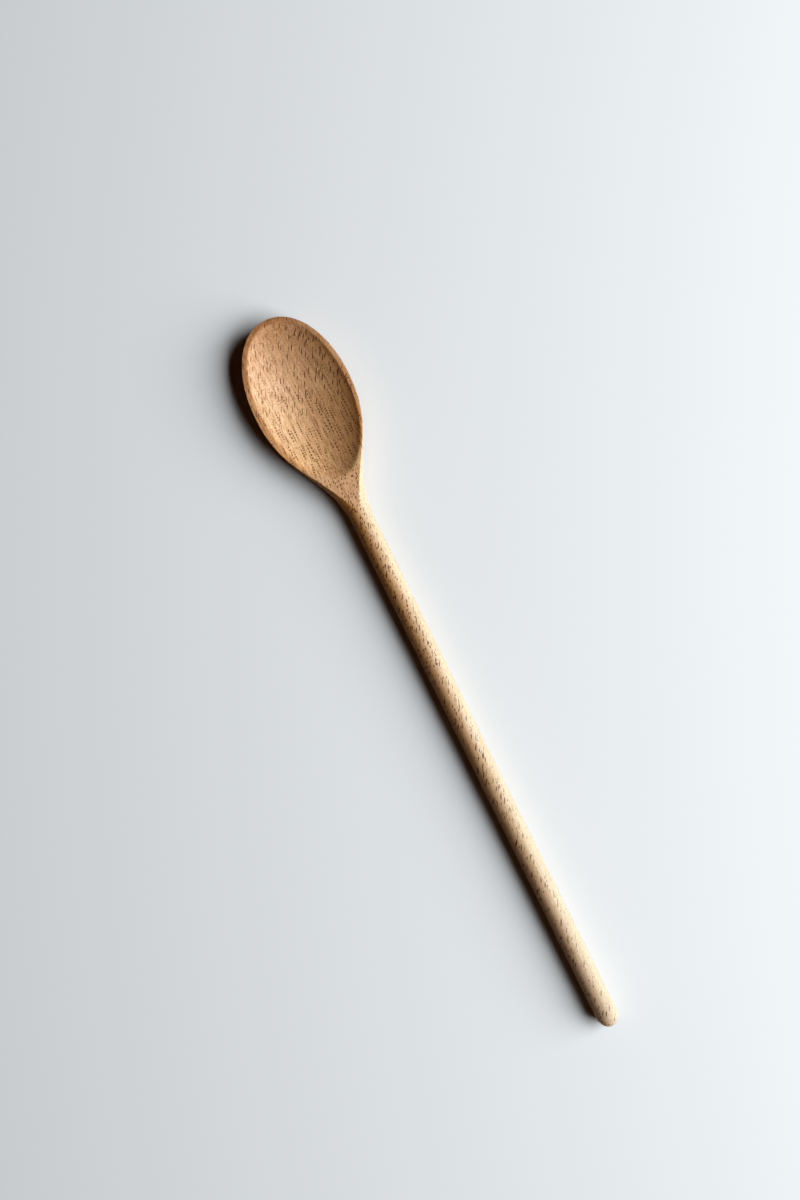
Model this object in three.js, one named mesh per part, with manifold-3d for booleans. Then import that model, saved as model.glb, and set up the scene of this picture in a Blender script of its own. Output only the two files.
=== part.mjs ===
// Stirring spoon cut from one piece of beech, in millimetres with +Z up.
// The spoon lies on its back with the bowl's tip towards +X and the hollow facing up.
import * as THREE from "three";
import { mergeVertices } from "three/addons/utils/BufferGeometryUtils.js";
import Module from "manifold-3d";

// Sizes along the spoon
const overallLength = 350;
const bowlAndNeckLength = 100.2;
const tipToWidest = 37.8;
const neckFlatLength = 23;
const buttRoundLength = 6.2;

// Sizes across the spoon
const handleDiameter = 10.05;
const bowlWidth = 46.4;
const sideLip = 2.4;
const tipLip = 2.9;

// Heights, where the planed flat is the level top of the rim and the neck
const flatAboveHandle = 0.45;
const rimWallHeight = 3.6;
const hollowDepth = 6.8;

// Plumpness of the bowl's plan, how flat its floor runs out to each edge of the hollow,
// and how softly the shoulder and neck curve
const bowlFullness = 2.1;
const sideFlatness = 2.07;
const frontFlatness = 3;
const backFlatness = 2.5;
const shoulderEase = 0.485;
const neckEase = 0.43;

// Points around a section and stations along each stretch
const aroundBody = 48;
const aroundHollow = 56;
const tipStations = 14;
const flareStations = 20;
const buttStations = 6;
const hollowSteps = 10;

// Lengths and heights that follow from the sizes above, with the handle's axis at height zero
const handleRadius = handleDiameter / 2;
const bowlHalfWidth = bowlWidth / 2;
const flatHeight = handleRadius + flatAboveHandle;
const rimRise = flatHeight - rimWallHeight;
const flareLength = bowlAndNeckLength - tipToWidest;
const tipX = overallLength / 2;

// Signed power of a cosine or sine, which draws the rounded plan of the bowl and its hollow
function roundedPower(value) {
  return Math.sign(value) * Math.abs(value) ** (2 / bowlFullness);
}

// Closed surface through rings of equal length, with one pole at each end
function skin(rings, startPole, endPole) {
  const count = rings[0].length;
  const points = [startPole, ...rings.flat(), endPole];
  const endIndex = points.length - 1;
  const lastRing = 1 + (rings.length - 1) * count;
  const triangles = [];
  for (let i = 0; i < count; i += 1) {
    const next = (i + 1) % count;
    triangles.push(0, 1 + next, 1 + i);
    for (let ring = 0; ring < rings.length - 1; ring += 1) {
      const here = 1 + ring * count;
      const there = here + count;
      triangles.push(here + i, here + next, there + next);
      triangles.push(here + i, there + next, there + i);
    }
    triangles.push(endIndex, lastRing + i, lastRing + next);
  }
  const geometry = new THREE.BufferGeometry().setFromPoints(points);
  geometry.setIndex(triangles);
  return geometry;
}

// Half width of the plan outline at stations from the tip to the butt.
// The round end of the bowl closes its underside to the tip, and the butt is a low dome.
function outlineStations() {
  const stations = [];
  for (let i = 1; i < tipStations; i += 1) {
    const angle = (i / tipStations) * (Math.PI / 2);
    const halfWidth = bowlHalfWidth * roundedPower(Math.sin(angle));
    stations.push({
      fromTip: tipToWidest * (1 - roundedPower(Math.cos(angle))),
      halfWidth,
      closing: halfWidth / bowlHalfWidth,
      bowlShare: 1,
    });
  }
  const flare = new THREE.CubicBezierCurve(
    new THREE.Vector2(tipToWidest, bowlHalfWidth),
    new THREE.Vector2(tipToWidest + shoulderEase * flareLength, bowlHalfWidth),
    new THREE.Vector2(bowlAndNeckLength - neckEase * flareLength, handleRadius),
    new THREE.Vector2(bowlAndNeckLength, handleRadius),
  );
  for (const point of flare.getPoints(flareStations)) {
    const share = (point.y - handleRadius) / (bowlHalfWidth - handleRadius);
    stations.push({
      fromTip: point.x,
      halfWidth: point.y,
      closing: 1,
      bowlShare: THREE.MathUtils.smoothstep(share, 0, 1),
    });
  }
  for (let i = 0; i < buttStations; i += 1) {
    const angle = (i / buttStations) * (Math.PI / 2);
    stations.push({
      fromTip: overallLength - buttRoundLength * (1 - Math.sin(angle)),
      halfWidth: handleRadius * Math.cos(angle),
      closing: Math.cos(angle),
      bowlShare: 0,
    });
  }
  return stations;
}

// Section across the spoon at one station: a turned round above its widest level,
// and below it a half ellipse down to the underside, which is level with the handle's.
function bodySection(station) {
  const widestLevel = rimRise * station.bowlShare;
  const depth = (handleRadius + widestLevel) * station.closing;
  const ring = [];
  for (let i = 0; i < aroundBody; i += 1) {
    const angle = (i / aroundBody) * 2 * Math.PI;
    const rise = Math.sin(angle) * (Math.sin(angle) > 0 ? station.halfWidth : depth);
    ring.push(new THREE.Vector3(
      tipX - station.fromTip,
      station.halfWidth * Math.cos(angle),
      widestLevel + rise,
    ));
  }
  return ring;
}

// The rounded blank, before its top is planed and its bowl is hollowed
function blankGeometry() {
  const rings = outlineStations().map(bodySection).reverse();
  const butt = new THREE.Vector3(tipX - overallLength, 0, 0);
  const tip = new THREE.Vector3(tipX, 0, rimRise);
  return skin(rings, butt, tip);
}

// The space that planing takes away, from the flat up to past the top of the blank
function planedSpaceGeometry() {
  const space = new THREE.BoxGeometry(overallLength + bowlWidth, bowlWidth * 2, bowlWidth);
  space.translate(0, 0, flatHeight + bowlWidth / 2);
  return space;
}

// The dished space of the bowl, which keeps its slope a little way above the flat
function hollowSpaceGeometry() {
  const halfWidth = bowlHalfWidth - sideLip;
  const frontLength = tipToWidest - tipLip;
  const backLength = flareLength - neckFlatLength;
  const centreX = tipX - tipToWidest;
  const heightAt = (reach, flatness) => flatHeight - hollowDepth * (1 - reach ** flatness);
  const rings = [];
  for (let step = 1; step <= hollowSteps + 1; step += 1) {
    const reach = step / hollowSteps;
    const ring = [];
    for (let i = 0; i < aroundHollow; i += 1) {
      const angle = (i / aroundHollow) * 2 * Math.PI;
      const along = Math.cos(angle) > 0 ? frontLength : backLength;
      const endFlatness = Math.cos(angle) > 0 ? frontFlatness : backFlatness;
      const flatness = THREE.MathUtils.lerp(sideFlatness, endFlatness, Math.cos(angle) ** 2);
      ring.push(new THREE.Vector3(
        centreX + reach * along * roundedPower(Math.cos(angle)),
        reach * halfWidth * roundedPower(Math.sin(angle)),
        heightAt(reach, flatness),
      ));
    }
    rings.push(ring);
  }
  const bottom = new THREE.Vector3(centreX, 0, heightAt(0, sideFlatness));
  const top = new THREE.Vector3(centreX, 0, heightAt(1 + 1 / hollowSteps, sideFlatness));
  return skin(rings, bottom, top);
}

// Solids that can be cut from one another
const wasm = await Module();
wasm.setup();

function toSolid(geometry) {
  geometry.deleteAttribute("normal");
  geometry.deleteAttribute("uv");
  const merged = mergeVertices(geometry);
  return new wasm.Manifold(new wasm.Mesh({
    numProp: 3,
    vertProperties: new Float32Array(merged.getAttribute("position").array),
    triVerts: new Uint32Array(merged.getIndex().array),
  }));
}

function toGeometry(solid) {
  const mesh = solid.getMesh();
  const geometry = new THREE.BufferGeometry();
  geometry.setAttribute("position", new THREE.BufferAttribute(new Float32Array(mesh.vertProperties), 3));
  geometry.setIndex(new THREE.BufferAttribute(new Uint32Array(mesh.triVerts), 1));
  return geometry;
}

// The spoon itself: the blank, planed level and hollowed, set down on its underside
const spoonSolid = toSolid(blankGeometry())
  .subtract(toSolid(planedSpaceGeometry()))
  .subtract(toSolid(hollowSpaceGeometry()));
const spoonGeometry = toGeometry(spoonSolid);
spoonGeometry.translate(0, 0, handleRadius);
spoonGeometry.computeVertexNormals();

const beech = new THREE.MeshStandardMaterial({ color: 0xd9b48c, roughness: 0.62, metalness: 0 });
beech.name = "beech";
const spoon = new THREE.Mesh(spoonGeometry, beech);
spoon.name = "spoon";

const stirringSpoon = new THREE.Group();
stirringSpoon.name = "stirring_spoon";
stirringSpoon.add(spoon);

export default stirringSpoon;
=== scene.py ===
import bpy
import math
import numpy as np
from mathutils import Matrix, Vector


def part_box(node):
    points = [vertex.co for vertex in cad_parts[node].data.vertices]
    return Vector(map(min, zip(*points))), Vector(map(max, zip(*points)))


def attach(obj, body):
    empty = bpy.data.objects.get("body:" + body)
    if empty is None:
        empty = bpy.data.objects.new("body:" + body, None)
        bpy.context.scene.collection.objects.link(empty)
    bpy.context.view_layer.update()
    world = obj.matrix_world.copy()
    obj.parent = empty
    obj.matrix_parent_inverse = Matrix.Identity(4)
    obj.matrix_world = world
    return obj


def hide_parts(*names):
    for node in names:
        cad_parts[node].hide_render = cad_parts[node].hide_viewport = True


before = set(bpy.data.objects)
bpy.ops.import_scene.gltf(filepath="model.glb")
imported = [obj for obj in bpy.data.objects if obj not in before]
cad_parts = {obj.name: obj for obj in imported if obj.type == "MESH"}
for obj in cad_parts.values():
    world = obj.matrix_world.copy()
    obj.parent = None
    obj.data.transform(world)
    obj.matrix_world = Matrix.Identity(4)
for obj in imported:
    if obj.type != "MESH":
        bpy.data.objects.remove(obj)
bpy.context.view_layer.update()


# Spoon
# A stirring spoon made from one piece of beech, so it is one piece with nothing fixed to it.
# The blank is sawn and turned, its top is planed level from the tip to the neck, a cutter
# hollows the bowl, and sanding eases every edge. Its sizes are in millimetres.
METRE = 1000
spoon_low, spoon_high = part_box("spoon")
overall_length = (spoon_high.x - spoon_low.x) * METRE
bowl_half_width = (spoon_high.y - spoon_low.y) * METRE / 2
flat_top = (spoon_high.z - spoon_low.z) * METRE
tip_x = spoon_high.x * METRE

# Lengths along the spoon, the handle, and the height of the rim's wall
bowl_and_neck_length = 100.2
tip_to_widest = 37.8
neck_flat_length = 23
butt_round_length = 6.2
handle_radius = 5.025
rim_wall_height = 3.6

# Plumpness of the bowl's plan, and how softly its shoulder and neck curve
bowl_fullness = 2.1
shoulder_ease = 0.485
neck_ease = 0.43

# Height of the widest level at the bowl, above the handle's axis
rim_rise = flat_top - handle_radius - rim_wall_height
flare_length = bowl_and_neck_length - tip_to_widest
hollow_x = tip_x - tip_to_widest

# The hollow: its lips, its depth and how flat its floor runs out to each edge. A short steep
# drop at its edge is softer at the tip. Behind the widest place the hollow is slimmer than the
# bowl and moves over to the right. Its slope is drawn on past its edge as far as the reach limit.
left_lip = 2.9
right_lip = 2.4
tip_lip = 2.9
hollow_depth = 6.8
side_flatness = 2.07
front_flatness = 3.0
back_flatness = 2.5
edge_drop_height = 0.5
edge_drop_sharpness = 24
tip_drop_softening = 0.6
hollow_back_fullness = 1.9
hollow_lean = 0.5
hollow_lean_run = 15
hollow_reach_limit = 1.3

# The bevel that sanding leaves along the outer edge, as a width and a height. It is widest on
# the left of the rim and least at the neck, and changes over this distance from the middle.
left_bevel = (2.4, 0.54)
right_bevel = (0.9, 0.34)
neck_bevel = (0.3, 0.15)
bevel_change = 8

# Heights over which corners are rounded. The hollow's edge is crisp at its sides, softer at the
# tip, and fades out at the neck.
hollow_edge_easing = 0.12
hollow_tip_easing = 0.4
hollow_end_easing = 1.2
flank_easing = 0.25

# Depths over which a cut face and the hollow take on their tone, and the rim's share of it
cut_fade = 0.2
hollow_fade = 0.4
rim_browning = 0.5

# Sections along the spoon and points across each one, close enough to draw the eased edges
tip_sections = 110
flare_sections = 180
handle_sections = 60
butt_sections = 24
points_across = 129

# A measure too small to matter, which keeps divisions safe and finds points on the outline
TINY = 1e-6


def smooth_lower(first, second, easing):
    """The lower of two heights, with the corner between them rounded over the easing height."""
    overlap = np.maximum(easing - np.abs(first - second), 0) / easing
    return np.minimum(first, second) - overlap ** 2 * easing / 4


def spoon_sections():
    """Columns of distance from the tip, half width, closing of the underside and share of the bowl."""
    turn = np.linspace(0, math.pi / 2, tip_sections + 1)[1:]
    tip_distance = tip_to_widest * (1 - np.maximum(np.cos(turn), 0) ** (2 / bowl_fullness))
    tip_half = bowl_half_width * np.sin(turn) ** (2 / bowl_fullness)
    tip = np.column_stack([tip_distance, tip_half, tip_half / bowl_half_width, np.ones_like(turn)])

    step = np.linspace(0, 1, flare_sections + 1)[1:, None]
    corners = np.array([
        [tip_to_widest, bowl_half_width],
        [tip_to_widest + shoulder_ease * flare_length, bowl_half_width],
        [bowl_and_neck_length - neck_ease * flare_length, handle_radius],
        [bowl_and_neck_length, handle_radius],
    ])
    weights = np.hstack([
        (1 - step) ** 3,
        3 * (1 - step) ** 2 * step,
        3 * (1 - step) * step ** 2,
        step ** 3,
    ])
    curve = weights @ corners
    share = (curve[:, 1] - handle_radius) / (bowl_half_width - handle_radius)
    bowl_share = share ** 2 * (3 - 2 * share)
    flare = np.column_stack([curve, np.ones_like(share), bowl_share])

    butt_start = overall_length - butt_round_length
    along = np.linspace(bowl_and_neck_length, butt_start, handle_sections + 1)[1:]
    even = np.ones_like(along)
    handle = np.column_stack([along, even * handle_radius, even, even * 0])

    turn = np.linspace(0, math.pi / 2, butt_sections + 1)[1:-1]
    butt_distance = butt_start + butt_round_length * np.sin(turn)
    butt = np.column_stack([butt_distance, handle_radius * np.cos(turn), np.cos(turn), turn * 0])
    return np.vstack([tip, flare, handle, butt])


def distance_inside_outline(from_tip, across, half_width):
    """Distance from a point in plan to the spoon's outline."""
    along = np.maximum(tip_to_widest - from_tip, 0) / tip_to_widest
    side = np.abs(across) / bowl_half_width
    reach = np.maximum((along ** bowl_fullness + side ** bowl_fullness) ** (1 / bowl_fullness), TINY)
    steepness = np.hypot(
        (along / reach) ** (bowl_fullness - 1) / tip_to_widest,
        (side / reach) ** (bowl_fullness - 1) / bowl_half_width,
    )
    in_tip = (1 - reach) / np.maximum(steepness, TINY)
    taper = np.gradient(half_width[:, 0], from_tip[:, 0])[:, None]
    in_flare = (half_width - np.abs(across)) / np.hypot(1, taper)
    return np.maximum(np.where(from_tip < tip_to_widest, in_tip, in_flare), 0)


def spoon_top(from_tip, across, half_width, bowl_share):
    """Height of the upper surface above the handle's axis, where it is cut and where it can brown."""
    # Planed top with its bevel, and the turned sides that it meets
    flat = flat_top - handle_radius
    leftward = np.clip((across + bevel_change) / (2 * bevel_change), 0, 1)
    bevel = []
    for left, right, neck in zip(left_bevel, right_bevel, neck_bevel):
        bevel.append(neck + (right + (left - right) * leftward - neck) * bowl_share)
    width, height = bevel
    inside = np.minimum(distance_inside_outline(from_tip, across, half_width) / width, 1)
    planed = flat - height * (1 - inside)
    turned = rim_rise * bowl_share + np.sqrt(np.maximum(half_width ** 2 - across ** 2, 0))
    outside = smooth_lower(planed, turned, flank_easing)
    outside = np.where(half_width - np.abs(across) < TINY, rim_rise * bowl_share, outside)

    # How far out in the hollow a point is, from 0 at its deepest to 1 at its edge
    forward = tip_x - from_tip - hollow_x
    in_front = forward > 0
    front_length = tip_to_widest - tip_lip
    back_length = flare_length - neck_flat_length
    along = np.abs(forward) / np.where(in_front, front_length, back_length)
    lean = hollow_lean * np.clip(-forward / hollow_lean_run, 0, 1)
    lip = np.where(across + lean > 0, left_lip, right_lip)
    side = np.abs(across + lean) / (bowl_half_width - lip)
    fullness = np.where(in_front, bowl_fullness, hollow_back_fullness)
    reach = (along ** fullness + side ** fullness) ** (1 / fullness)
    endwise = (along / np.maximum(reach, TINY)) ** 2
    reach = np.minimum(reach, hollow_reach_limit)

    # Dished floor of the hollow, with the drop at its edge
    end_flatness = np.where(in_front, front_flatness, back_flatness)
    flatness = side_flatness + (end_flatness - side_flatness) * endwise
    edge_drop = edge_drop_height * (1 - tip_drop_softening * endwise * in_front)
    hollow = flat - (hollow_depth - edge_drop) * (1 - reach ** flatness)
    hollow = hollow - edge_drop * (1 - reach ** edge_drop_sharpness)
    end_easing = np.where(in_front, hollow_tip_easing, hollow_end_easing)
    easing = hollow_edge_easing + (end_easing - hollow_edge_easing) * endwise

    cut = np.clip((turned - np.minimum(planed, hollow)) / cut_fade, 0, 1)
    hollowed = np.clip((planed - hollow) / hollow_fade, 0, 1)
    brown = hollowed + (1 - hollowed) * rim_browning * bowl_share
    return smooth_lower(outside, hollow, easing), cut, brown


def spoon_mesh():
    """One closed skin through the sections, with a pole at the tip and one at the butt."""
    from_tip, half_width, closing, bowl_share = np.split(spoon_sections(), 4, axis=1)
    turn = np.linspace(-math.pi / 2, math.pi / 2, points_across)[None, :]
    across = half_width * np.sin(turn)
    spread = np.ones_like(across)
    top, cut, brown = spoon_top(from_tip * spread, across, half_width * spread, bowl_share * spread)
    depth = (handle_radius + rim_rise * bowl_share) * closing
    under = rim_rise * bowl_share - depth * np.cos(turn)
    x = tip_x - from_tip * spread

    upper = np.stack([x, across, top + handle_radius], axis=2)
    lower = np.stack([x, across, under + handle_radius], axis=2)[:, -2:0:-1]
    rings = np.concatenate([upper, lower], axis=1)
    section_count, ring_count = rings.shape[:2]
    tip = [tip_x, 0, rim_rise + handle_radius]
    butt = [tip_x - overall_length, 0, handle_radius]
    points = np.vstack([rings.reshape(-1, 3), tip, butt]) / METRE

    start = np.arange(ring_count)
    following = (start + 1) % ring_count
    faces = []
    for section in range(section_count - 1):
        here = section * ring_count
        there = here + ring_count
        quads = [here + start, there + start, there + following, here + following]
        faces += np.column_stack(quads).tolist()
    tip_index = section_count * ring_count
    last = (section_count - 1) * ring_count
    faces += np.column_stack([start, following, np.full(ring_count, tip_index)]).tolist()
    faces += np.column_stack([last + following, last + start, np.full(ring_count, tip_index + 1)]).tolist()

    mesh = bpy.data.meshes.new("beech_spoon")
    mesh.from_pydata(points.tolist(), [], faces)
    uncut = np.zeros((section_count, ring_count - points_across))
    for name, shares, tip_share in (("cut_face", cut, 1), ("brown_face", brown, 0)):
        values = np.append(np.hstack([shares, uncut]).ravel(), [tip_share, 0])
        mesh.attributes.new(name, "FLOAT", "POINT").data.foreach_set("value", values)
    mesh.polygons.foreach_set("use_smooth", [True] * len(mesh.polygons))
    mesh.validate()
    mesh.update()
    return mesh


def linear(hex_colour):
    """Linear colour of an sRGB hex value."""
    parts = [int(hex_colour[i:i + 2], 16) / 255 for i in (1, 3, 5)]
    return tuple(((p + 0.055) / 1.055) ** 2.4 if p > 0.04045 else p / 12.92 for p in parts) + (1,)


def add(tree, kind, inputs=None, **settings):
    """Adds a node with its settings, and links or sets its inputs."""
    made = tree.nodes.new(kind)
    for name, value in settings.items():
        setattr(made, name, value)
    for socket, value in (inputs or {}).items():
        if isinstance(value, bpy.types.NodeSocket):
            tree.links.new(value, made.inputs[socket])
        else:
            made.inputs[socket].default_value = value
    return made


def sanded_raw_beech():
    """Beech, sanded and left raw: warm tan with rows of small brown ray flecks along the grain,
    faint growth lines, fine fibres and a broad dull sheen. The bowl is redder than the handle."""
    material = bpy.data.materials.new("beech_sanded_raw")
    material.use_nodes = True
    tree = material.node_tree
    tree.nodes.clear()

    # Place in the wood, in millimetres, where the fibres wander by up to 2 mm over about 40 mm
    place = add(tree, "ShaderNodeTexCoord").outputs["Object"]
    place = add(tree, "ShaderNodeVectorMath", {0: place, "Scale": METRE}, operation="SCALE").outputs[0]
    side = add(tree, "ShaderNodeSeparateXYZ", {0: place}).outputs[1]
    wander = add(tree, "ShaderNodeTexNoise", {"Vector": place, "Scale": 1 / 40, "Detail": 1})
    place = add(tree, "ShaderNodeVectorMath", {
        0: wander.outputs["Color"], 1: (0, 2.0, 2.0), 2: place}, operation="MULTIPLY_ADD").outputs[0]
    along = add(tree, "ShaderNodeSeparateXYZ", {0: place}).outputs[0]

    # How far the fibres have run to the side. They lean 26 degrees to the axis in the front of the
    # bowl and on the handle, and run straight in the back of the bowl, between these two places.
    front_lean_from = 126.0
    handle_lean_from = 96.0
    lean_easing = 16.0
    grain_lean = math.tan(math.radians(26))
    runs = []
    for ahead, behind in ((along, front_lean_from), (handle_lean_from, along)):
        run = add(tree, "ShaderNodeMath", {0: ahead, 1: behind}, operation="SUBTRACT").outputs[0]
        runs.append(add(tree, "ShaderNodeMath", {
            0: run, 1: 0.0, 2: lean_easing}, operation="SMOOTH_MAX").outputs[0])
    run = add(tree, "ShaderNodeMath", {0: runs[0], 1: runs[1]}, operation="SUBTRACT").outputs[0]
    sideways = add(tree, "ShaderNodeVectorMath", {
        0: place, 1: (0, 1, 0.3)}, operation="DOT_PRODUCT").outputs["Value"]
    across = add(tree, "ShaderNodeMath", {
        0: run, 1: grain_lean, 2: sideways}, operation="MULTIPLY_ADD").outputs[0]
    outward = add(tree, "ShaderNodeVectorMath", {
        0: place, 1: (0, -0.3, 1)}, operation="DOT_PRODUCT").outputs["Value"]
    wood_place = add(tree, "ShaderNodeCombineXYZ", {0: along, 1: across, 2: outward}).outputs[0]

    # Uneven patterns with their length and width in millimetres: patches of tone, growth lines,
    # fibres, and the fuzz of cut fibre ends
    uneven = {}
    for name, where, length, width, detail in (
        ("patches", place, 12, 4, 1),
        ("growth", place, 34, 1.2, 1),
        ("fibre", place, 16, 0.55, 3),
        ("fuzz", wood_place, 0.7, 0.3, 2),
    ):
        stretched = add(tree, "ShaderNodeVectorMath", {
            0: where, 1: (1 / length, 1 / width, 1 / width)}, operation="MULTIPLY").outputs[0]
        uneven[name] = add(tree, "ShaderNodeTexNoise", {
            "Vector": stretched, "Scale": 1.0, "Detail": detail}).outputs
    fibre = uneven["fibre"]["Fac"]
    fuzz = uneven["fuzz"]["Fac"]

    # Where the flecks show. Faces are told apart as cut ones and turned ones. The turned ones have
    # fewer flecks on the right, which faces the window: painted light that washes them out there.
    cut = add(tree, "ShaderNodeAttribute", attribute_name="cut_face").outputs["Fac"]
    turned = add(tree, "ShaderNodeMath", {0: 1.0, 1: cut}, operation="SUBTRACT").outputs[0]
    front = add(tree, "ShaderNodeMapRange", {
        0: along, 1: 118.0, 2: 138.0}, interpolation_type="SMOOTHSTEP").outputs[0]
    to_right = add(tree, "ShaderNodeMapRange", {0: side, 1: 14.0, 2: -4.0, 3: 0.8}).outputs[0]
    front = add(tree, "ShaderNodeMath", {0: front, 1: to_right}, operation="MULTIPLY").outputs[0]
    handle = add(tree, "ShaderNodeMapRange", {0: along, 1: 85.0, 2: 75.0}).outputs[0]
    on_top = add(tree, "ShaderNodeMapRange", {0: side, 1: -3.6, 2: -1.6}).outputs[0]
    on_handle = add(tree, "ShaderNodeMath", {0: handle, 1: on_top}, operation="MULTIPLY").outputs[0]
    # Painted light: fewer flecks on the lit right of the turned faces
    painted_light_right = add(tree, "ShaderNodeMath", {0: 1.0, 1: on_top}, operation="SUBTRACT").outputs[0]
    painted_light_right = add(tree, "ShaderNodeMath", {0: painted_light_right, 1: turned}, operation="MULTIPLY").outputs[0]
    short_share = add(tree, "ShaderNodeMapRange", {
        0: along, 1: 96.0, 2: 106.0, 3: 1.0, 4: 0.25}, interpolation_type="SMOOTHSTEP").outputs[0]
    short_share = add(tree, "ShaderNodeMath", {
        0: painted_light_right, 1: -0.55, 2: short_share}, operation="MULTIPLY_ADD").outputs[0]
    short_least = add(tree, "ShaderNodeMapRange", {0: along, 1: 80.0, 2: -60.0, 3: 0.2, 4: 0.7}).outputs[0]
    long_share = add(tree, "ShaderNodeMath", {0: front, 1: on_handle}, operation="MAXIMUM").outputs[0]
    long_least = add(tree, "ShaderNodeMapRange", {0: on_handle, 3: 0.28, 4: 0.42}).outputs[0]
    strings_begin = add(tree, "ShaderNodeMapRange", {0: along, 1: 97.0, 2: 104.0}).outputs[0]
    strings_end = add(tree, "ShaderNodeMapRange", {0: along, 1: 128.0, 2: 150.0, 3: 1.0, 4: 0.4}).outputs[0]
    string_share = add(tree, "ShaderNodeMath", {
        0: strings_begin, 1: strings_end}, operation="MULTIPLY").outputs[0]

    # Ray flecks: brown spindles in rows. Short ones cover the neck and thin out along the handle,
    # longer ones lie aslant in the front of the bowl and here and there on the handle, and in
    # the back of the bowl they run in strings of beads along the axis. Real ones are finer, and
    # these are drawn wide enough to show in the render. Each kind has its spacing along and across
    # the rows, its length and its width in millimetres, then how unevenly it is set, its beads,
    # its share, and the draw below which a fleck is left out.
    row_depth = 1.8
    draw_fade = 0.3
    fleck = None
    for where, pitch, row, length, width, scatter, beads, share, least in (
        (wood_place, 1.9, 1.6, 1.1, 0.56, 0.9, 0, short_share, short_least),
        (wood_place, 4.0, 1.7, 2.9, 0.5, 0.8, 0, long_share, long_least),
        (place, 9.0, 1.5, 8.4, 0.66, 0.6, 6, string_share, 0.25),
    ):
        # Cells in rows, each row moved along by its own amount
        cells = add(tree, "ShaderNodeVectorMath", {
            0: where, 1: (1 / pitch, 1 / row, 1 / row_depth)}, operation="MULTIPLY").outputs[0]
        row_place = add(tree, "ShaderNodeSeparateXYZ", {0: cells}).outputs[1]
        row_place = add(tree, "ShaderNodeMath", {0: row_place, 1: 0.25}, operation="ADD").outputs[0]
        row_number = add(tree, "ShaderNodeMath", {0: row_place}, operation="FLOOR").outputs[0]
        row_shift = add(tree, "ShaderNodeTexWhiteNoise", {
            "W": row_number}, noise_dimensions="1D").outputs["Value"]
        row_shift = add(tree, "ShaderNodeCombineXYZ", {0: row_shift}).outputs[0]
        cells = add(tree, "ShaderNodeVectorMath", {0: cells, 1: row_shift}, operation="ADD").outputs[0]

        # One spindle in each cell, from two thirds to four thirds of its kind's length
        rays = add(tree, "ShaderNodeTexVoronoi", {"Vector": cells, "Scale": 1.0, "Randomness": scatter})
        draw = add(tree, "ShaderNodeSeparateColor", {0: rays.outputs["Color"]})
        shortening = add(tree, "ShaderNodeMapRange", {0: draw.outputs[1], 3: 0.75, 4: 1.5}).outputs[0]
        shortening = add(tree, "ShaderNodeCombineXYZ", {0: shortening, 1: 1.0, 2: 1.0}).outputs[0]
        offset = add(tree, "ShaderNodeVectorMath", {
            0: cells, 1: rays.outputs["Position"]}, operation="SUBTRACT").outputs[0]
        for stretch in ((2 * pitch / length, 2 * row / width, 0.8), shortening):
            offset = add(tree, "ShaderNodeVectorMath", {
                0: offset, 1: stretch}, operation="MULTIPLY").outputs[0]
        spread = add(tree, "ShaderNodeVectorMath", {0: offset}, operation="LENGTH").outputs["Value"]
        spindle = add(tree, "ShaderNodeMapRange", {
            0: spread, 1: 1.15, 2: 0.9}, interpolation_type="SMOOTHSTEP").outputs[0]
        if beads:
            bead = add(tree, "ShaderNodeSeparateXYZ", {0: offset}).outputs[0]
            bead = add(tree, "ShaderNodeMath", {
                0: bead, 1: math.pi * beads}, operation="MULTIPLY").outputs[0]
            bead = add(tree, "ShaderNodeMath", {0: bead}, operation="COSINE").outputs[0]
            bead = add(tree, "ShaderNodeMapRange", {0: bead, 1: -0.5, 2: 0.5, 3: 0.12}).outputs[0]
            spindle = add(tree, "ShaderNodeMath", {0: spindle, 1: bead}, operation="MULTIPLY").outputs[0]

        # Its darkness is drawn at random, and the darkest kind at a place shows
        most = add(tree, "ShaderNodeMath", {0: least, 1: draw_fade}, operation="ADD").outputs[0]
        darkness = add(tree, "ShaderNodeMapRange", {0: draw.outputs[0], 1: least, 2: most}).outputs[0]
        kind = add(tree, "ShaderNodeMath", {0: spindle, 1: darkness}, operation="MULTIPLY").outputs[0]
        kind = add(tree, "ShaderNodeMath", {0: kind, 1: share}, operation="MULTIPLY").outputs[0]
        if fleck is not None:
            kind = add(tree, "ShaderNodeMath", {0: fleck, 1: kind}, operation="MAXIMUM").outputs[0]
        fleck = kind

    # Flecks are a little fainter in patches. On upright faces the rays lie flat in the surface,
    # where they are much fainter.
    patches = add(tree, "ShaderNodeMapRange", {
        0: uneven["patches"]["Fac"], 1: 0.38, 2: 0.6, 3: 0.85}).outputs[0]
    facing = add(tree, "ShaderNodeNewGeometry").outputs["Normal"]
    facing = add(tree, "ShaderNodeSeparateXYZ", {0: facing})
    levelness = add(tree, "ShaderNodeMath", {0: facing.outputs[2]}, operation="ABSOLUTE").outputs[0]
    level_face = add(tree, "ShaderNodeMapRange", {0: levelness, 1: 0.2, 2: 0.65, 3: 0.35}).outputs[0]
    for faintness in (patches, level_face):
        fleck = add(tree, "ShaderNodeMath", {0: fleck, 1: faintness}, operation="MULTIPLY").outputs[0]
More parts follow.
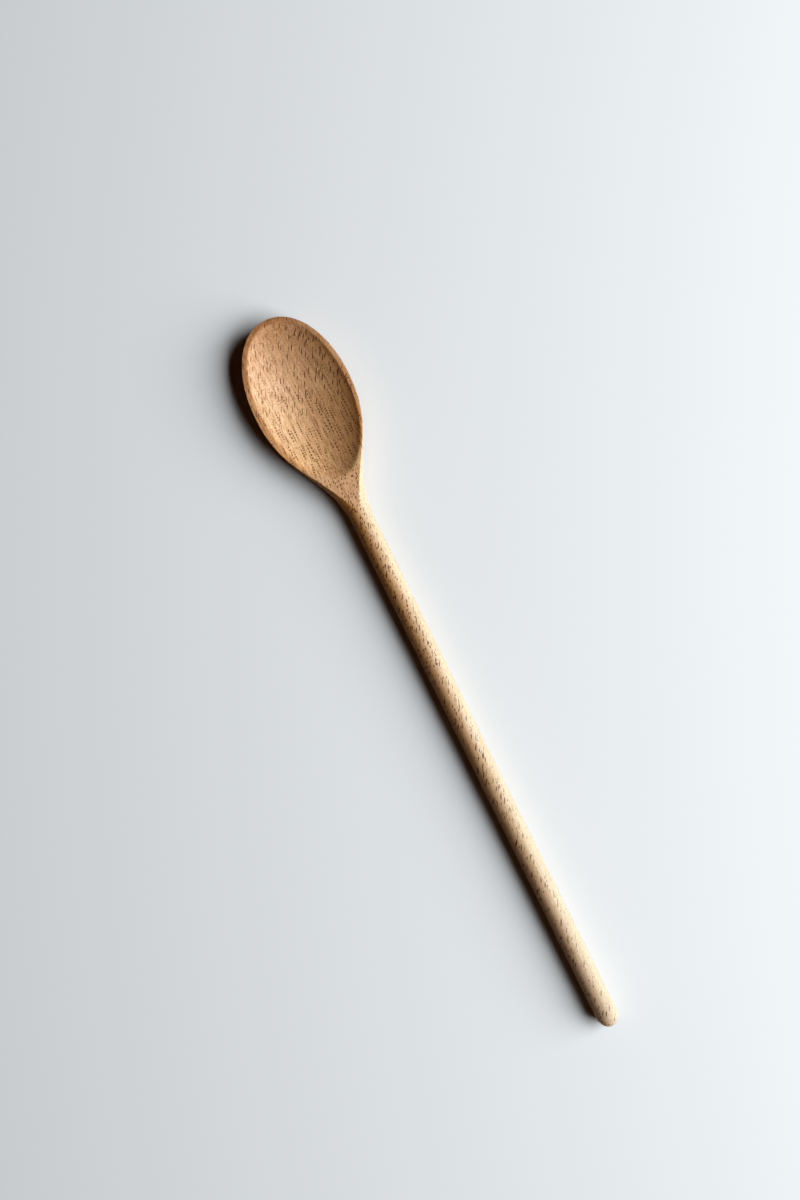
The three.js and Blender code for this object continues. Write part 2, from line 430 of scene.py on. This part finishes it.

    # Tones along the spoon, from butt to tip: the turned handle and neck, which are pale, a painted
    # shade that browns the handle's top and left side away from the window, the planed top and the
    # hollow, which are redder, and a painted shade that browns the hollow's right side
    length_share = add(tree, "ShaderNodeMapRange", {0: along, 1: -tip_x, 2: tip_x}).outputs[0]
    tones = []
    for stops in (
        ((0.0, "#CCC2A9"), (0.79, "#E2CBAB"), (0.92, "#D6B08A")),
        ((0.0, "#FFE1D0"), (0.75, "#D8A25C")),
        ((0.76, "#CDA077"), (0.81, "#D7AC7D"), (0.92, "#DFB68F"), (0.99, "#C0946E")),
        ((0.81, "#E7D2B4"), (0.99, "#F3E7D3")),
    ):
        ramp = add(tree, "ShaderNodeValToRGB", {0: length_share})
        steps = ramp.color_ramp.elements
        steps[0].position = stops[0][0]
        steps[0].color = linear(stops[0][1])
        steps[1].position = stops[-1][0]
        steps[1].color = linear(stops[-1][1])
        for position, tone in stops[1:-1]:
            steps.new(position).color = linear(tone)
        tones.append(ramp.outputs["Color"])
    # Painted shade: the handle's top and left side, which face away from the window, are browner
    handle_painted_shade = add(tree, "ShaderNodeMapRange", {
        0: side, 1: -4.5, 2: 3.5}, interpolation_type="SMOOTHSTEP").outputs[0]
    turned_tone = add(tree, "ShaderNodeMix", {
        0: handle_painted_shade, 6: tones[0], 7: tones[1]}, data_type="RGBA", blend_type="MULTIPLY").outputs[2]
    brown = add(tree, "ShaderNodeAttribute", attribute_name="brown_face").outputs["Fac"]
    # Painted shade: the hollow's right side, away from the window, is browner
    hollow_painted_shade = add(tree, "ShaderNodeMapRange", {
        0: side, 1: 12.0, 2: -18.0}, interpolation_type="SMOOTHSTEP").outputs[0]
    hollow_painted_shade = add(tree, "ShaderNodeMath", {
        0: hollow_painted_shade, 1: brown}, operation="MULTIPLY").outputs[0]
    cut_tone = add(tree, "ShaderNodeMix", {
        0: hollow_painted_shade, 6: tones[2], 7: tones[3]}, data_type="RGBA", blend_type="MULTIPLY").outputs[2]

    # The hollow is browner along its middle. Its steep right wall, which faces away from the window,
    # is browner as painted shade. The rim is browner too, most of all on its right.
    from_middle = add(tree, "ShaderNodeMath", {0: side}, operation="ABSOLUTE").outputs[0]
    middle = add(tree, "ShaderNodeMapRange", {
        0: from_middle, 1: 14.0, 2: 2.0}, interpolation_type="SMOOTHSTEP").outputs[0]
    middle = add(tree, "ShaderNodeMath", {0: middle, 1: brown}, operation="MULTIPLY").outputs[0]
    # Painted shade on the steep right wall of the hollow
    right_wall_painted_shade = add(tree, "ShaderNodeMapRange", {0: facing.outputs[1], 1: 0.4, 2: 0.65}).outputs[0]
    right_wall_painted_shade = add(tree, "ShaderNodeMath", {0: right_wall_painted_shade, 1: brown}, operation="MULTIPLY").outputs[0]
    on_rim = add(tree, "ShaderNodeMath", {0: brown, 1: rim_browning}, operation="SUBTRACT").outputs[0]
    on_rim = add(tree, "ShaderNodeMath", {0: on_rim}, operation="ABSOLUTE").outputs[0]
    on_rim = add(tree, "ShaderNodeMapRange", {0: on_rim, 1: 0.3, 2: 0.1}).outputs[0]
    rim_side = add(tree, "ShaderNodeMapRange", {0: side, 1: -12.0, 2: 12.0}).outputs[0]
    rim_tint = add(tree, "ShaderNodeMix", {
        0: rim_side, 6: (0.7, 0.62, 0.54, 1), 7: (1.12, 0.93, 0.77, 1)}, data_type="RGBA").outputs[2]
    for share, tint_without, tint_with in (
        (middle, (1.06, 1.07, 1.08, 1), (0.96, 0.94, 0.91, 1)),
        (right_wall_painted_shade, (1, 1, 1, 1), (1, 0.86, 0.6, 1)),
        (on_rim, (1, 1, 1, 1), rim_tint),
    ):
        tint = add(tree, "ShaderNodeMix", {
            0: share, 6: tint_without, 7: tint_with}, data_type="RGBA").outputs[2]
        cut_tone = add(tree, "ShaderNodeVectorMath", {
            0: cut_tone, 1: tint}, operation="MULTIPLY").outputs[0]
    wood_tone = add(tree, "ShaderNodeMix", {
        0: cut, 6: turned_tone, 7: cut_tone}, data_type="RGBA").outputs[2]

    # Brown and pale fibres, which stand out more where a face is cut across them, and patches
    # that are slightly rosier than others
    roughened = add(tree, "ShaderNodeMath", {0: cut, 1: 0.3, 2: 1.1}, operation="MULTIPLY_ADD").outputs[0]
    grain = add(tree, "ShaderNodeMath", {0: fibre, 1: 0.65, 2: fuzz}, operation="MULTIPLY_ADD").outputs[0]
    grain = add(tree, "ShaderNodeMath", {0: grain, 1: 0.825}, operation="SUBTRACT").outputs[0]
    grain = add(tree, "ShaderNodeMath", {
        0: grain, 1: roughened, 2: 0.5}, operation="MULTIPLY_ADD", use_clamp=True).outputs[0]
    rosiness = add(tree, "ShaderNodeSeparateColor", {0: uneven["patches"]["Color"]}).outputs[2]
    rosiness = add(tree, "ShaderNodeMapRange", {0: rosiness, 1: 0.3, 2: 0.7}).outputs[0]
    for share, tint_without, tint_with in (
        (grain, (0.67, 0.5, 0.22, 1), (1.33, 1.5, 1.78, 1)),
        (rosiness, (0.99, 1.003, 0.97, 1), (1.01, 0.997, 1.03, 1)),
    ):
        tint = add(tree, "ShaderNodeMix", {
            0: share, 6: tint_without, 7: tint_with}, data_type="RGBA").outputs[2]
        wood_tone = add(tree, "ShaderNodeVectorMath", {
            0: wood_tone, 1: tint}, operation="MULTIPLY").outputs[0]

    # Growth lines, a little browner than the rest and faint on turned faces. The flecks over them
    # are a deeper brown on the right of the cut faces, as painted shade in their pits away from the window.
    growth = add(tree, "ShaderNodeMapRange", {
        0: uneven["growth"]["Fac"], 1: 0.45, 2: 0.7, 4: 0.38}).outputs[0]
    banded = add(tree, "ShaderNodeMapRange", {0: cut, 3: 0.2}).outputs[0]
    growth = add(tree, "ShaderNodeMath", {0: growth, 1: banded}, operation="MULTIPLY").outputs[0]
    wood_tone = add(tree, "ShaderNodeMix", {
        0: growth, 6: wood_tone, 7: linear("#8F6038")}, data_type="RGBA").outputs[2]
    # Painted shade: flecks are darker on the right of the cut faces
    fleck_painted_shade = add(tree, "ShaderNodeMapRange", {
        0: side, 1: 12.0, 2: -10.0}, interpolation_type="SMOOTHSTEP").outputs[0]
    fleck_painted_shade = add(tree, "ShaderNodeMix", {0: cut, 2: 0.55, 3: fleck_painted_shade}).outputs[0]
    fleck_tone = add(tree, "ShaderNodeMix", {
        0: fleck_painted_shade, 6: linear("#5E3200"), 7: linear("#4A2200")}, data_type="RGBA").outputs[2]
    wood_tone = add(tree, "ShaderNodeMix", {
        0: fleck, 6: wood_tone, 7: fleck_tone}, data_type="RGBA").outputs[2]

    # Roughness, and the 0.06 mm deep pits of the rays and cut fibres
    pit_depth = 0.06
    roughness = add(tree, "ShaderNodeMapRange", {0: fibre, 1: 0.3, 2: 0.7, 3: 0.42, 4: 0.54}).outputs[0]
    relief = add(tree, "ShaderNodeMath", {0: fleck, 1: -0.6, 2: fuzz}, operation="MULTIPLY_ADD").outputs[0]
    bump = add(tree, "ShaderNodeBump", {
        "Height": relief, "Distance": pit_depth / METRE, "Strength": 0.6}).outputs[0]
    shader = add(tree, "ShaderNodeBsdfPrincipled", {
        "Base Color": wood_tone, "Roughness": roughness, "Normal": bump, "IOR": 1.54,
        "Specular IOR Level": 0.1, "Sheen Weight": 0.08, "Sheen Roughness": 0.5})
    add(tree, "ShaderNodeOutputMaterial", {"Surface": shader.outputs[0]})
    return material


spoon = bpy.data.objects.new("beech_spoon", spoon_mesh())
bpy.context.scene.collection.objects.link(spoon)
spoon.data.materials.append(sanded_raw_beech())
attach(spoon, "root")
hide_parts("spoon")


# Floor
# A plain pale table top with a matt laminate face, which shows soft shadows and no reflections.
# The spoon lies loose on it. Far from the spoon it passes into the backdrop's even pale tone, and
# the light that it throws back on the spoon is low and warm.
floor_half = 4.0
floor_mesh = bpy.data.meshes.new("table_top")
floor_mesh.from_pydata(
    [
        (-floor_half, -floor_half, 0),
        (floor_half, -floor_half, 0),
        (floor_half, floor_half, 0),
        (-floor_half, floor_half, 0),
    ],
    [], [(0, 1, 2, 3)])
floor = bpy.data.objects.new("table_top", floor_mesh)
bpy.context.scene.collection.objects.link(floor)
pale_tone = linear("#E6EBEE")
bounce_tone = linear("#80602E")
fade_begins = 0.36
fade_ends = 0.7


def shown_directly(tree):
    """Share that is 1 where the picture, a reflection or clear glass shows a surface, and else 0."""
    path = add(tree, "ShaderNodeLightPath").outputs
    shown = add(tree, "ShaderNodeMath", {
        0: path["Is Camera Ray"], 1: path["Is Glossy Ray"]}, operation="ADD").outputs[0]
    return add(tree, "ShaderNodeMath", {
        0: shown, 1: path["Is Transmission Ray"]}, operation="ADD", use_clamp=True).outputs[0]


table_material = bpy.data.materials.new("laminate_matt_pale")
table_material.use_nodes = True
table = table_material.node_tree
table.nodes.clear()
floor_place = add(table, "ShaderNodeTexCoord").outputs["Object"]
floor_distance = add(table, "ShaderNodeVectorMath", {0: floor_place}, operation="LENGTH").outputs["Value"]
far_off = add(table, "ShaderNodeMapRange", {
    0: floor_distance, 1: fade_begins, 2: fade_ends}, interpolation_type="SMOOTHSTEP").outputs[0]
seen = shown_directly(table)
backdrop_share = add(table, "ShaderNodeMath", {0: far_off, 1: seen}, operation="MULTIPLY").outputs[0]
matt_tone = add(table, "ShaderNodeMix", {0: seen, 6: bounce_tone, 7: pale_tone}, data_type="RGBA").outputs[2]
matt = add(table, "ShaderNodeBsdfDiffuse", {"Color": matt_tone}).outputs[0]
backdrop = add(table, "ShaderNodeEmission", {"Color": pale_tone, "Strength": 1.0}).outputs[0]
mixed = add(table, "ShaderNodeMixShader", {0: backdrop_share, 1: matt, 2: backdrop}).outputs[0]
add(table, "ShaderNodeOutputMaterial", {"Surface": mixed})
floor_mesh.materials.append(table_material)


# Light
# One broad soft window beside the spoon, on the right of the picture, with very little fill
# from the room, so that the side of the spoon away from it is dark.
window_direction = math.radians(245)
window_height_angle = math.radians(34)
window_distance = 1.7
window_aim = (0.04, 0.0, 0.0)
window_light = bpy.data.lights.new("window", "AREA")
window_light.shape = "RECTANGLE"
window_light.size = 1.73
window_light.size_y = 1.51
window_light.energy = 60.5
window = bpy.data.objects.new("window", window_light)
bpy.context.scene.collection.objects.link(window)
level = window_distance * math.cos(window_height_angle)
window.location = (
    window_aim[0] + level * math.cos(window_direction),
    window_aim[1] + level * math.sin(window_direction),
    window_distance * math.sin(window_height_angle),
)
window.rotation_euler = (math.pi / 2 - window_height_angle, 0, window_direction + math.pi / 2)

world = bpy.data.worlds.new("room")
bpy.context.scene.world = world
world.use_nodes = True
room = world.node_tree
room.nodes.clear()
fill = add(room, "ShaderNodeBackground", {"Color": linear("#FF9048"), "Strength": 0.008}).outputs[0]
backdrop = add(room, "ShaderNodeBackground", {"Color": pale_tone, "Strength": 1.0}).outputs[0]
room_mix = add(room, "ShaderNodeMixShader", {0: shown_directly(room), 1: fill, 2: backdrop}).outputs[0]
add(room, "ShaderNodeOutputWorld", {"Surface": room_mix})


# Camera
# Held straight over the table, with the spoon lying across the frame from upper left to
# lower right.
camera_data = bpy.data.cameras.new("camera")
camera_data.sensor_width = 36
camera_data.lens = 45
camera_data.clip_start = 0.01
camera = bpy.data.objects.new("camera", camera_data)
bpy.context.scene.collection.objects.link(camera)
camera.location = (0.0372, 0.0011, 0.6745)
camera.rotation_euler = (0, 0, math.radians(-116.25))
bpy.context.scene.camera = camera
bpy.context.scene.view_settings.view_transform = "Standard"
